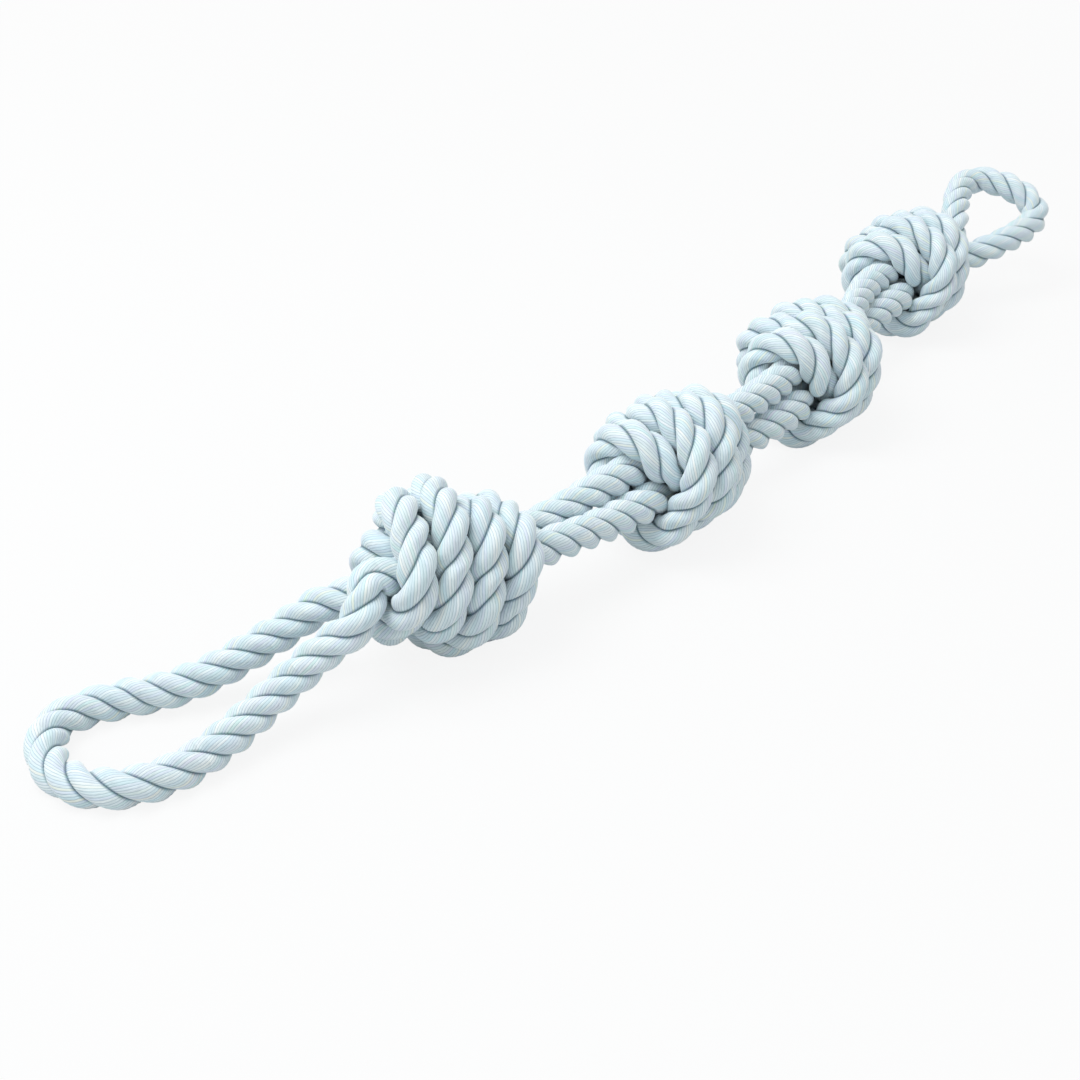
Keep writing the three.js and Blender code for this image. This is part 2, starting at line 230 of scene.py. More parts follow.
def draw_knot():
    """Pulls the four ends while the ropes keep their length, resist bending and press on each
    other."""
    ropes = loose_knot()
    xyz = np.vstack(ropes)
    count = len(xyz)
    firsts = [0, len(ropes[0])]
    lasts = [len(ropes[0]) - 1, count - 1]
    free = np.ones((count, 1))
    free[firsts + lasts] = 0
    edges = [
        np.concatenate([np.arange(first + parity, last, 2) for first, last in zip(firsts, lasts)])
        for parity in (0, 1)
    ]
    shares = [np.maximum(free[edge] + free[edge + 1], 1) for edge in edges]
    apart = math.ceil(OWN_REACH / POINT_STEP)
    upper = np.triu(np.ones((count, count), bool), 1)
    number = np.arange(count)
    same_rope = (number[:, None] < firsts[1]) == (number[None, :] < firsts[1])
    beside = same_rope & (number[None, :] - number[:, None] <= apart)
    allowed = upper & ~beside

    def neighbours():
        square = (xyz ** 2).sum(axis=1)
        between = square[:, None] + square[None, :] - 2 * xyz @ xyz.T
        return np.nonzero(allowed & (between < SEARCH_REACH ** 2))

    def contacts(pairs):
        i, j = pairs
        gap = xyz[j] - xyz[i]
        between = np.sqrt((gap ** 2).sum(axis=1))
        near = between < 1
        i, j, gap, between = i[near], j[near], gap[near], between[near]
        move = gap * (CONTACT_SHARE * (1 - between) / between)[:, None]
        return np.column_stack([
            np.bincount(j, move[:, c], count) - np.bincount(i, move[:, c], count) for c in range(3)
        ])

    def push():
        """Moves the turns outside the core together along the knot."""
        out = np.hypot(xyz[:, 1], xyz[:, 2])
        along_knot = -PUSH * np.clip(out - CORE, 0, 1) * np.clip(xyz[:, 0], -1, 1)
        return np.outer(along_knot, [1, 0, 0])

    for step in range(DRAW_STEPS):
        if step % SEARCH_EVERY == 0:
            pairs = neighbours()
        if along(xyz[: firsts[1]])[-1] < DRAW_STRETCH * POINT_STEP * lasts[0]:
            xyz[firsts, 0] -= DRAW_PULL
            xyz[lasts, 0] += DRAW_PULL
        for _ in range(DRAW_ROUNDS):
            for edge, share in zip(edges, shares):
                gap = xyz[edge + 1] - xyz[edge]
                length = np.sqrt((gap ** 2).sum(axis=1))[:, None]
                move = gap * ((length - POINT_STEP) / length / share)
                xyz[edge] += move * free[edge]
                xyz[edge + 1] -= move * free[edge + 1]
            bend = np.zeros_like(xyz)
            bend[1:-1] = STIFFNESS * ((xyz[:-2] + xyz[2:]) / 2 - xyz[1:-1])
            bend *= free
            shift = bend - (np.roll(bend, 1, axis=0) + np.roll(bend, -1, axis=0)) / 2
            shift += contacts(pairs)
            if step >= PUSH_FROM:
                shift += push()
            xyz += shift * free
    pairs = neighbours()
    for _ in range(SETTLE_ROUNDS):
        xyz += contacts(pairs) * free
    return [xyz[: firsts[1]], xyz[firsts[1]:]]


def place_knot(drawn, middle, heading, roll):
    """Rolls the knot about its own length, turns it to its heading and sets it down, pressed
    flat."""
    headed = Matrix.Rotation(math.radians(heading), 3, "Z")
    rolled = Matrix.Rotation(math.radians(roll), 3, "X")
    turn = np.array(headed @ rolled)
    reach = EXIT / KNOT_PRESS
    ropes = []
    for rope in drawn:
        inside = np.nonzero(np.abs(rope[:, 0]) < reach)[0]
        first, last = inside[0], inside[-1]
        ends = []
        for a, b, x in ((first - 1, first, -reach), (last, last + 1, reach)):
            f = (x - rope[a, 0]) / (rope[b, 0] - rope[a, 0])
            ends.append(rope[a] + f * (rope[b] - rope[a]))
        ropes.append(np.vstack([ends[0], rope[first:last + 1], ends[1]]) * KNOT_PRESS @ turn.T)
    lowest = min(rope[:, 2].min() for rope in ropes)
    standing = (KNOT_PRESS - CLEARANCE) / 2 - FLAT_DEPTH
    return [rope + [middle[0], middle[1], standing - lowest] for rope in ropes]


def bridge(start, end):
    """A leg that leaves along one length of rope and runs into another."""
    third = np.linalg.norm(end[0] - start[-1]) / 3
    out = start[-1] + third * unit(start[-1] - start[-3])
    back = end[0] + third * unit(end[0] - end[2])
    t = np.linspace(0, 1, LEG_SAMPLES + 1)[:, None]
    curve = (
        (1 - t) ** 3 * start[-1] + 3 * (1 - t) ** 2 * t * out
        + 3 * (1 - t) * t ** 2 * back + t ** 3 * end[0]
    )
    return smooth(evenly(curve, along(curve)[-1] / LEG_PARTS), RING_STEP)


def loop_from(middle, heading, way, route, ropes):
    """A loop that starts at whichever leg lies on the +Y side; gives that leg's number and the
    points."""
    ahead = way * heading_of(heading)
    side = heading_of(heading + 90)
    root = middle + EXIT * ahead
    ends = [rope[-1] if way > 0 else rope[0] for rope in ropes]
    first = 0 if ends[0] @ side > ends[1] @ side else 1
    route = [
        (root + out * ahead + across * side) * [1, 1, 0] + [0, 0, up] for out, across, up in route
    ]
    return first, smooth(np.vstack([ends[first], *route, ends[1 - first]]), RING_STEP)


def lay_out_rope():
    """The rope's course as named lengths in their order along it, and the middles of the knots."""
    drawn = draw_knot()
    middles = {ROOT_KNOT: np.zeros(3)}
    for k in (0, 1, 2):
        (_, before, _), (_, after, _) = KNOTS[k], KNOTS[k + 1]
        _, way, length = SPANS[k]
        step = EXIT * (heading_of(before) + heading_of(after)) + length * heading_of(way)
        if k < ROOT_KNOT:
            middles[k] = middles[k + 1] - step
        else:
            middles[k + 1] = middles[k] + step
    placed = [
        place_knot(drawn, middles[k], heading, roll) for k, (_, heading, roll) in enumerate(KNOTS)
    ]
    for before, after in zip(placed, placed[1:]):
        gaps = [[np.linalg.norm(a[-1] - b[0]) for b in after] for a in before]
        if gaps[0][1] + gaps[1][0] < gaps[0][0] + gaps[1][1]:
            after.reverse()
    near_first, near = loop_from(middles[0], KNOTS[0][1], -1, NEAR_LOOP, placed[0])
    far_first, far = loop_from(middles[3], KNOTS[3][1], 1, FAR_LOOP, placed[3])

    def through_knots(rope):
        lengths = []
        for k, (name, _, _) in enumerate(KNOTS):
            lengths.append([f"{name}_rope_{'ab'[rope]}", smooth(placed[k][rope], RING_STEP)])
            if k < len(SPANS):
                leg = bridge(placed[k][rope], placed[k + 1][rope])
                lengths.append([f"{SPANS[k][0]}_leg_{'ab'[rope]}", leg])
        return lengths

    ahead = heading_of(KNOTS[0][1])
    reach = (middles[0] - EXIT * ahead - near) @ ahead
    beyond = np.nonzero(reach > NEAR_FOLD)[0]
    fold_start, fold_end = beyond[0], beyond[-1]
    if far_first == near_first:
        far = far[::-1]
    back = [[name, points[::-1]] for name, points in reversed(through_knots(near_first))]
    lengths = [
        ["near_loop_bight", near[fold_start:fold_end + 1]],
        [f"near_loop_leg_{'ba'[near_first]}", near[fold_end:]],
        *through_knots(1 - near_first),
        ["far_loop", far],
        *back,
        [f"near_loop_leg_{'ab'[near_first]}", near[:fold_start + 1]],
    ]
    course = np.vstack([points[:-1] for _, points in lengths])
    centre = (course.min(axis=0) + course.max(axis=0)) / 2 * [1, 1, 0]
    counts = [(name, len(points) - 1) for name, points in lengths]
    return course - centre, counts, {KNOTS[k][0]: middle - centre for k, middle in middles.items()}


course, counts, middles = lay_out_rope()


def fine_course():
    """The course in steps of about two millimetres, closed on itself."""
    around = [np.roll(course, k, axis=0) for k in (1, 0, -1, -2)]
    fine = np.empty((RINGS_PER_STEP * len(course), 3))
    for k in range(RINGS_PER_STEP):
        fine[k::RINGS_PER_STEP] = catmull_rom(*around, np.full(len(course), k / RINGS_PER_STEP))
    return fine


def distance_to_rest(fine):
    """How near the rest of the rope comes to each point of it."""
    count = len(fine)
    own = math.ceil(OWN_LENGTH / RING_STEP) * RINGS_PER_STEP
    number = np.arange(count)
    nearest = np.empty(count)
    for i in number:
        between = np.linalg.norm(fine - fine[i], axis=1)
        steps = np.abs(number - i)
        between[np.minimum(steps, count - steps) < own] = np.inf
        nearest[i] = between.min()
    return nearest


# The rope starts and ends where it is hidden, in the core of the last knot
spine = fine_course()
starts = {}
total = 0
for name, steps in counts:
    starts[name] = (total, total + RINGS_PER_STEP * steps)
    total += RINGS_PER_STEP * steps
core = np.vstack([spine[slice(*starts[f"knot_4_rope_{letter}"])] for letter in "ab"]).mean(axis=0)
first, last = starts["knot_4_rope_b"]
seam = first + int(np.argmin(np.linalg.norm(spine[first:last] - core, axis=1)))
ranges = {name: [(end - seam) % total for end in ends] for name, ends in starts.items()}
spine = np.roll(spine, -seam, axis=0)
nearest = distance_to_rest(spine)
fullest = np.where(nearest < BESIDE, FULLEST, 1)
squeezed = np.clip((nearest + PRESSED_IN) / ROPE, THINNEST, fullest)
shifts = range(-THICKNESS_SPREAD, THICKNESS_SPREAD + 1)
squeezed = np.mean([np.roll(squeezed, shift) for shift in shifts], axis=0)
spine = np.vstack([spine, spine[:1]])
thick = np.append(squeezed, squeezed[0])
distance = along(spine)
ways = unit(np.vstack([spine[1] - spine[-2], spine[2:] - spine[:-2], spine[1] - spine[-2]]))

# The lay opens where the rope bends: the length of straight rope with as many turns
bends = ROPE * np.linalg.norm(np.diff(ways, axis=0), axis=1) / np.diff(distance)
bends = np.convolve(bends, np.full(BEND_SPREAD, 1 / BEND_SPREAD), mode="same")
wound = np.concatenate([[0.0], np.cumsum(np.diff(distance) / (1 + LAY_OPENING * bends))])

# A frame carried along the rope without twist
sides = np.empty_like(spine)
side = np.array([0.0, 0.0, 1.0])
for i, way in enumerate(ways):
    side = unit(side - (side @ way) * way)
    sides[i] = side
ups = np.cross(ways, sides)


def add(tree, kind, inputs=None, **settings):
    """Adds a node with its settings; an input is a value or another node's socket."""
    node = tree.nodes.new(kind)
    for name, value in settings.items():
        setattr(node, name, value)
    for key, value in (inputs or {}).items():
        if isinstance(value, bpy.types.NodeSocket):
            tree.links.new(value, node.inputs[key])
        else:
            node.inputs[key].default_value = value
    return node


def linear(hex_colour):
    """An sRGB hex colour as linear red, green, blue and alpha."""
    channels = [int(hex_colour[i:i + 2], 16) / 255 for i in (1, 3, 5)]
    return [c / 12.92 if c <= 0.04045 else ((c + 0.055) / 1.055) ** 2.4 for c in channels] + [1.0]


def cotton_yarn():
    """Spun cotton yarn, dyed unevenly: matt and soft, pale blue mixed with off-white yarns, with
    fine fibres that lie at a slant along each yarn. Shade is painted into its colour: a darker blue
    line between one yarn and the next, and a dark crease between two strands. The piece's UV map
    counts yarns across and metres along the rope, and its "crown" attribute is one on the outside
    of the rope and less towards the crease between two strands, where the material paints the
    shade."""
    material = bpy.data.materials.new("spun cotton yarn")
    material.use_nodes = True
    tree = material.node_tree
    tree.nodes.clear()
    uv = add(tree, "ShaderNodeUVMap", uv_map="UVMap").outputs[0]
    split = add(tree, "ShaderNodeSeparateXYZ", {0: uv})
    across, run = split.outputs[0], split.outputs[1]
    yarn = add(tree, "ShaderNodeMath", {0: across}, operation="FLOOR").outputs[0]
    within = add(tree, "ShaderNodeMath", {0: across}, operation="FRACT").outputs[0]
    dye = add(tree, "ShaderNodeTexWhiteNoise", {"W": yarn}, noise_dimensions="1D").outputs["Value"]
    tint = add(tree, "ShaderNodeValToRGB", {0: dye})
    shades = [
        (0.0, "#DCEBF0"), (0.3, "#E5F1F4"), (0.5, "#D5E8EF"), (0.66, "#ECF4F3"),
        (0.78, "#DBE7F2"), (0.88, "#E5EFE8"), (0.93, "#D7EBED"),
    ]
    ramp = tint.color_ramp
    ramp.interpolation = "CONSTANT"
    while len(ramp.elements) < len(shades):
        ramp.elements.new(1.0)
    for element, (position, colour) in zip(ramp.elements, shades):
        element.position = position
        element.color = linear(colour)

    # Fibres about half a millimetre wide and six long, slanted across the yarn
    slanted = add(tree, "ShaderNodeMath", {
        0: run, 1: FIBRE_SLANT, 2: across,
    }, operation="MULTIPLY_ADD").outputs[0]
    fibre_across = add(tree, "ShaderNodeMath", {
        0: slanted, 1: FIBRE_ACROSS,
    }, operation="MULTIPLY").outputs[0]
    fibre_along = add(tree, "ShaderNodeMath", {
        0: run, 1: FIBRE_ALONG,
    }, operation="MULTIPLY").outputs[0]
    fibre_place = add(tree, "ShaderNodeCombineXYZ", {
        0: fibre_across, 1: fibre_along, 2: yarn,
    }).outputs[0]
    fibre = add(tree, "ShaderNodeTexNoise", {
        "Vector": fibre_place, "Scale": 1.0, "Detail": 2.0,
    }).outputs[0]
    patch_place = add(tree, "ShaderNodeMath", {
        0: run, 1: PATCH_ALONG,
    }, operation="MULTIPLY").outputs[0]
    patch_vector = add(tree, "ShaderNodeCombineXYZ", {0: yarn, 1: patch_place}).outputs[0]
    patch = add(tree, "ShaderNodeTexNoise", {"Vector": patch_vector, "Scale": 1.0, "Detail": 1.0})

    # Painted shade: a darker blue line between two yarns, and a dark crease between two strands,
    # where shade falls
    from_middle = add(tree, "ShaderNodeMath", {0: within, 1: 0.5}, operation="SUBTRACT").outputs[0]
    to_edge = add(tree, "ShaderNodeMath", {0: from_middle}, operation="ABSOLUTE").outputs[0]
    line_shade_mask = add(tree, "ShaderNodeMapRange", {
        "Value": to_edge, "From Min": 0.3, "From Max": 0.5, "To Min": 0.0, "To Max": PAINTED_LINE_SHADE,
    }, interpolation_type="SMOOTHSTEP").outputs[0]
    crown = add(tree, "ShaderNodeAttribute", attribute_name="crown").outputs["Fac"]
    crease_shade_mask = add(tree, "ShaderNodeMapRange", {
        "Value": crown, "From Min": -0.3, "From Max": 0.15, "To Min": PAINTED_CREASE_SHADE, "To Max": 0.0,
    }, interpolation_type="SMOOTHSTEP").outputs[0]
    with_line_shade = add(tree, "ShaderNodeMix", {
        0: line_shade_mask, 6: tint.outputs[0], 7: linear(PAINTED_LINE_SHADE_COLOUR),
    }, data_type="RGBA").outputs[2]
    with_crease_shade = add(tree, "ShaderNodeMix", {
        0: crease_shade_mask, 6: with_line_shade, 7: linear(PAINTED_CREASE_SHADE_COLOUR),
    }, data_type="RGBA").outputs[2]
    shaded_and_dyed = add(tree, "ShaderNodeMix", {
        0: PATCH_SHARE, 6: with_crease_shade, 7: patch.outputs["Color"],
    }, data_type="RGBA", blend_type="OVERLAY").outputs[2]
    fleck = add(tree, "ShaderNodeMapRange", {
        "Value": fibre, "From Min": 0.3, "From Max": 0.7, "To Min": 0.88, "To Max": 1.04,
    }).outputs[0]
    colour = add(tree, "ShaderNodeVectorMath", {
        0: shaded_and_dyed, "Scale": fleck,
    }, operation="SCALE").outputs[0]
    bump = add(tree, "ShaderNodeBump", {
        "Height": fibre, "Strength": 0.5, "Distance": 0.0003,
    }).outputs[0]
    surface = add(tree, "ShaderNodeBsdfPrincipled", {
        "Base Color": colour, "Normal": bump, "Roughness": 0.93, "IOR": 1.53,
        "Specular IOR Level": 0.25, "Sheen Weight": 0.3, "Sheen Roughness": 0.5,
    })
    add(tree, "ShaderNodeOutputMaterial", {"Surface": surface.outputs[0]})
    return material


SIZES = {
    "Lay Length": LAY_LENGTH * MM,
    "Strand Offset": STRAND_OFFSET * MM,
    "Strand Radius": STRAND_RADIUS * MM,
    "Yarns": YARNS,
    "Yarn Depth": YARN_DEPTH * MM,
    "Yarn Turns": YARN_TURNS,
}


def rope_sockets(tree):
    """The inputs that a strand and the whole rope share."""
    tree.interface.new_socket("Path", in_out="INPUT", socket_type="NodeSocketGeometry")
    for label, value in SIZES.items():
        kind = "NodeSocketInt" if isinstance(value, int) else "NodeSocketFloat"
        tree.interface.new_socket(label, in_out="INPUT", socket_type=kind)


def laid_strand():
    """One strand that winds round the path, fluted by its yarns. Its yarns turn back as the strand
    turns on, so that on the outside of the rope they run nearly along it."""
    tree = bpy.data.node_groups.new("laid strand", "GeometryNodeTree")
    rope_sockets(tree)
    tree.interface.new_socket("Strand", in_out="INPUT", socket_type="NodeSocketFloat")
    tree.interface.new_socket("Mesh", in_out="OUTPUT", socket_type="NodeSocketGeometry")
    given = add(tree, "NodeGroupInput").outputs
    path = given["Path"]
    rings = add(tree, "GeometryNodeAttributeDomainSize", {0: path}).outputs["Point Count"]
    columns = add(tree, "ShaderNodeMath", {
        0: given["Yarns"], 1: COLUMNS_PER_YARN, 2: 1.0,
    }, operation="MULTIPLY_ADD").outputs[0]
    grid = add(tree, "GeometryNodeMeshGrid", {"Vertices X": columns, "Vertices Y": rings})
    index = add(tree, "GeometryNodeInputIndex").outputs[0]
    share = add(tree, "ShaderNodeMath", {0: index, 1: rings}, operation="DIVIDE").outputs[0]
    column = add(tree, "ShaderNodeMath", {0: share}, operation="FLOOR").outputs[0]
    ring = add(tree, "ShaderNodeMath", {0: index, 1: rings}, operation="FLOORED_MODULO").outputs[0]

    position = add(tree, "GeometryNodeInputPosition").outputs[0]
    at_ring = {}
    for label, kind in (
        ("position", "FLOAT_VECTOR"), ("side", "FLOAT_VECTOR"), ("up", "FLOAT_VECTOR"),
        ("along", "FLOAT"), ("wound", "FLOAT"), ("thick", "FLOAT"),
    ):
        value = position
        if label != "position":
            value = add(tree, "GeometryNodeInputNamedAttribute", {
                "Name": label,
            }, data_type=kind).outputs[0]
        sample = add(tree, "GeometryNodeSampleIndex", data_type=kind, domain="POINT")
        tree.links.new(path, sample.inputs["Geometry"])
        tree.links.new(value, sample.inputs["Value"])
        tree.links.new(ring, sample.inputs["Index"])
        at_ring[label] = sample.outputs[0]

    # How far the strand has turned round the rope, and each yarn round the strand
    laps = add(tree, "ShaderNodeMath", {
        0: at_ring["wound"], 1: given["Lay Length"],
    }, operation="DIVIDE").outputs[0]
    strand_share = add(tree, "ShaderNodeMath", {
        0: given["Strand"], 1: STRANDS,
    }, operation="DIVIDE").outputs[0]
    strand_laps = add(tree, "ShaderNodeMath", {
        0: laps, 1: strand_share,
    }, operation="ADD").outputs[0]
    strand_turn = add(tree, "ShaderNodeMath", {
        0: strand_laps, 1: math.tau,
    }, operation="MULTIPLY").outputs[0]
    back_laps = add(tree, "ShaderNodeMath", {
        0: laps, 1: given["Yarn Turns"],
    }, operation="MULTIPLY").outputs[0]
    place = add(tree, "ShaderNodeSeparateXYZ", {0: grid.outputs["UV Map"]}).outputs[0]
    corners = add(tree, "ShaderNodeMath", {
        0: given["Yarns"], 1: COLUMNS_PER_YARN,
    }, operation="MULTIPLY").outputs[0]
    round_strand = add(tree, "ShaderNodeMath", {
        0: column, 1: corners,
    }, operation="DIVIDE").outputs[0]
    yarn_laps = add(tree, "ShaderNodeMath", {
        0: round_strand, 1: back_laps,
    }, operation="SUBTRACT").outputs[0]
    yarn_turn = add(tree, "ShaderNodeMath", {
        0: yarn_laps, 1: math.tau,
    }, operation="MULTIPLY").outputs[0]

    # The first of a yarn's columns lies in the groove beside it
    yarn_column = add(tree, "ShaderNodeMath", {
        0: column, 1: COLUMNS_PER_YARN,
    }, operation="FLOORED_MODULO").outputs[0]
    in_groove = add(tree, "ShaderNodeMath", {
        0: yarn_column, 1: 0.5,
    }, operation="LESS_THAN").outputs[0]
    groove = add(tree, "ShaderNodeMath", {
        0: in_groove, 1: given["Yarn Depth"],
    }, operation="MULTIPLY").outputs[0]
    offset = add(tree, "ShaderNodeMath", {
        0: given["Strand Offset"], 1: at_ring["thick"],
    }, operation="MULTIPLY").outputs[0]
    full_radius = add(tree, "ShaderNodeMath", {
        0: given["Strand Radius"], 1: at_ring["thick"],
    }, operation="MULTIPLY").outputs[0]
    radius = add(tree, "ShaderNodeMath", {
        0: full_radius, 1: groove,
    }, operation="SUBTRACT").outputs[0]

    # One on the outside of the rope, less towards the crease between two strands; the material
    # paints shade in the crease from it
    from_crown = add(tree, "ShaderNodeMath", {
        0: yarn_turn, 1: strand_turn,
    }, operation="SUBTRACT").outputs[0]
    crown_share = add(tree, "ShaderNodeMath", {0: from_crown}, operation="COSINE").outputs[0]

    # Out along the ring's two directions
    placed = at_ring["position"]
    for label, trig in (("side", "COSINE"), ("up", "SINE")):
        strand_part = add(tree, "ShaderNodeMath", {0: strand_turn}, operation=trig).outputs[0]
        yarn_part = add(tree, "ShaderNodeMath", {0: yarn_turn}, operation=trig).outputs[0]
        strand_out = add(tree, "ShaderNodeMath", {
            0: offset, 1: strand_part,
        }, operation="MULTIPLY").outputs[0]
        out = add(tree, "ShaderNodeMath", {
            0: radius, 1: yarn_part, 2: strand_out,
        }, operation="MULTIPLY_ADD").outputs[0]
        step = add(tree, "ShaderNodeVectorMath", {
            0: at_ring[label], "Scale": out,
        }, operation="SCALE").outputs[0]
        placed = add(tree, "ShaderNodeVectorMath", {0: placed, 1: step}, operation="ADD").outputs[0]

    # The rope is pressed flat on the floor
    split = add(tree, "ShaderNodeSeparateXYZ", {0: placed})
    height = add(tree, "ShaderNodeMath", {
        0: split.outputs[2], 1: FLOOR_GAP * MM,
    }, operation="MAXIMUM").outputs[0]
    placed = add(tree, "ShaderNodeCombineXYZ", {
        0: split.outputs[0], 1: split.outputs[1], 2: height,
    }).outputs[0]

    marked = add(tree, "GeometryNodeStoreNamedAttribute", {
        "Geometry": grid.outputs["Mesh"], "Name": "along", "Value": at_ring["along"],
    }, data_type="FLOAT", domain="POINT").outputs[0]
    marked = add(tree, "GeometryNodeStoreNamedAttribute", {
        "Geometry": marked, "Name": "crown", "Value": crown_share,
    }, data_type="FLOAT", domain="POINT").outputs[0]
    shaped = add(tree, "GeometryNodeSetPosition", {
        "Geometry": marked, "Position": placed,
    }).outputs[0]
    run = add(tree, "GeometryNodeInputNamedAttribute", {
        "Name": "along",
    }, data_type="FLOAT").outputs[0]
    strand_and_share = add(tree, "ShaderNodeMath", {
        0: place, 1: given["Strand"],
    }, operation="ADD").outputs[0]
    yarns = add(tree, "ShaderNodeMath", {
        0: strand_and_share, 1: given["Yarns"],
    }, operation="MULTIPLY").outputs[0]
    uv = add(tree, "ShaderNodeCombineXYZ", {0: yarns, 1: run}).outputs[0]
    mapped = add(tree, "GeometryNodeStoreNamedAttribute", {
        "Geometry": shaped, "Name": "UVMap", "Value": uv,
    }, data_type="FLOAT2", domain="CORNER").outputs[0]
    add(tree, "NodeGroupOutput", {"Mesh": mapped})
    return tree


def laid_rope(strand_tree):
    """Three strands, a third of a turn apart."""
    tree = bpy.data.node_groups.new("laid rope", "GeometryNodeTree")
    rope_sockets(tree)
    tree.interface.new_socket("Material", in_out="INPUT", socket_type="NodeSocketMaterial")
    tree.interface.new_socket("Mesh", in_out="OUTPUT", socket_type="NodeSocketGeometry")
    given = add(tree, "NodeGroupInput").outputs
    joined = add(tree, "GeometryNodeJoinGeometry")
    for number in range(STRANDS):
        strand = add(tree, "GeometryNodeGroup", node_tree=strand_tree)
        for label in ("Path", *SIZES):
            tree.links.new(given[label], strand.inputs[label])
        strand.inputs["Strand"].default_value = number
        tree.links.new(strand.outputs["Mesh"], joined.inputs[0])
    closed = add(tree, "GeometryNodeMergeByDistance", {
        0: joined.outputs[0], "Distance": SAME_POINT * MM,
    }).outputs[0]
    rounded = add(tree, "GeometryNodeSetShadeSmooth", {0: closed}).outputs[0]
    real = add(tree, "GeometryNodeRealizeInstances", {0: rounded}).outputs[0]
    finished = add(tree, "GeometryNodeSetMaterial", {
        "Geometry": real, "Material": given["Material"],
    }).outputs[0]
    add(tree, "NodeGroupOutput", {"Mesh": finished})
    return tree


cotton = cotton_yarn()
rope_tree = laid_rope(laid_strand())
identifiers = {s.name: s.identifier for s in rope_tree.interface.items_tree if s.in_out == "INPUT"}


def rope_piece(name, first, last):
    """Three strands laid along part of the course, as one closed mesh."""
    rings = slice(first, last + 1)
    path = bpy.data.meshes.new(f"{name}_path")
    points = spine[rings] * MM
    path.from_pydata(points.tolist(), [(i, i + 1) for i in range(len(points) - 1)], [])
    for label, kind, field, values in (
        ("side", "FLOAT_VECTOR", "vector", sides), ("up", "FLOAT_VECTOR", "vector", ups),
        ("along", "FLOAT", "value", distance * MM), ("wound", "FLOAT", "value", wound * MM),
        ("thick", "FLOAT", "value", thick),
    ):
        layer = path.attributes.new(label, kind, "POINT")
        layer.data.foreach_set(field, values[rings].astype(np.float32).ravel())
    piece = bpy.data.objects.new(name, path)
    bpy.context.collection.objects.link(piece)
    modifier = piece.modifiers.new("laid rope", "NODES")
    modifier.node_group = rope_tree
    for label, value in SIZES.items():
        modifier[identifiers[label]] = value
    modifier[identifiers["Material"]] = cotton
    bpy.context.view_layer.update()
    laid = piece.evaluated_get(bpy.context.evaluated_depsgraph_get())
    mesh = bpy.data.meshes.new_from_object(laid)
    piece.modifiers.clear()
    piece.data = mesh
    mesh.name = name
    bpy.data.meshes.remove(path)
    close_ends(mesh)
    return piece


def close_ends(mesh):
    """Closes each strand where the piece is cut."""
    shell = bmesh.new()
    shell.from_mesh(mesh)
    rims = [edge for edge in shell.edges if edge.is_boundary]
    for rim in rims:
        rim.smooth = False
    bmesh.ops.holes_fill(shell, edges=rims, sides=0)
    shell.to_mesh(mesh)
    shell.free()


def middle_of(*rings):
    return spine[list(rings)].mean(axis=0)


# The knots are rigid; a few rings at the ends of their ropes belong to the pieces next to them
GIVEN_RINGS = 2
for knot, _, _ in KNOTS:
    for letter in "ab":
        node = f"{knot}_rope_{letter}"
        first, last = ranges[node]
        first, last = first + GIVEN_RINGS, last - GIVEN_RINGS
        cuts = [(node, first, last)]
        if first > last:
            cuts = [(f"{node}_start", first, total), (f"{node}_end", 0, last)]
        for name, start, end in cuts:
            piece = rope_piece(f"laid_{name}", start, end)
            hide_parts(node)
            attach(piece, knot)

# Between two knots each leg is laid as two pieces: the half near the one knot, and the half near
# the other. Points are worked out at these shares of the leg's two halves
LOW_BEND_END, HIGH_BEND_START = 0.8, 0.2
for k, (span, _, _) in enumerate(SPANS):
    low_knot, high_knot = KNOTS[k][0], KNOTS[k + 1][0]
    legs = {}
    for letter in "ab":
        first, last = ranges[f"{span}_leg_{letter}"]
        low, high = (first, last) if spine[first, 0] < spine[last, 0] else (last, first)
        legs[letter] = (low, (low + high) // 2, high)
    low, middle, high = [middle_of(*rings) for rings in zip(*legs.values())]
    low_end = low + LOW_BEND_END * (middle - low)
    high_start = middle + HIGH_BEND_START * (high - middle)
    for letter, (low_ring, middle_ring, high_ring) in legs.items():
        node = f"{span}_leg_{letter}"
        outward = GIVEN_RINGS if high_ring > low_ring else -GIVEN_RINGS
        halves = (
            ("low", low_ring - outward, middle_ring, low_knot, span, low, low_end),
            ("high", middle_ring, high_ring + outward, span, high_knot, high_start, high),
        )
        for label, start, end, before, after, bend_start, bend_end in halves:
            piece = rope_piece(f"laid_{node}_{label}", min(start, end), max(start, end))
            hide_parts(node)
            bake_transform(piece)


def loop_cord(name, body, first, last):
    """The free bight of a loop, laid as a piece and attached to its body."""
    piece = rope_piece(name, first, last)
    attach(piece, body)
    return piece


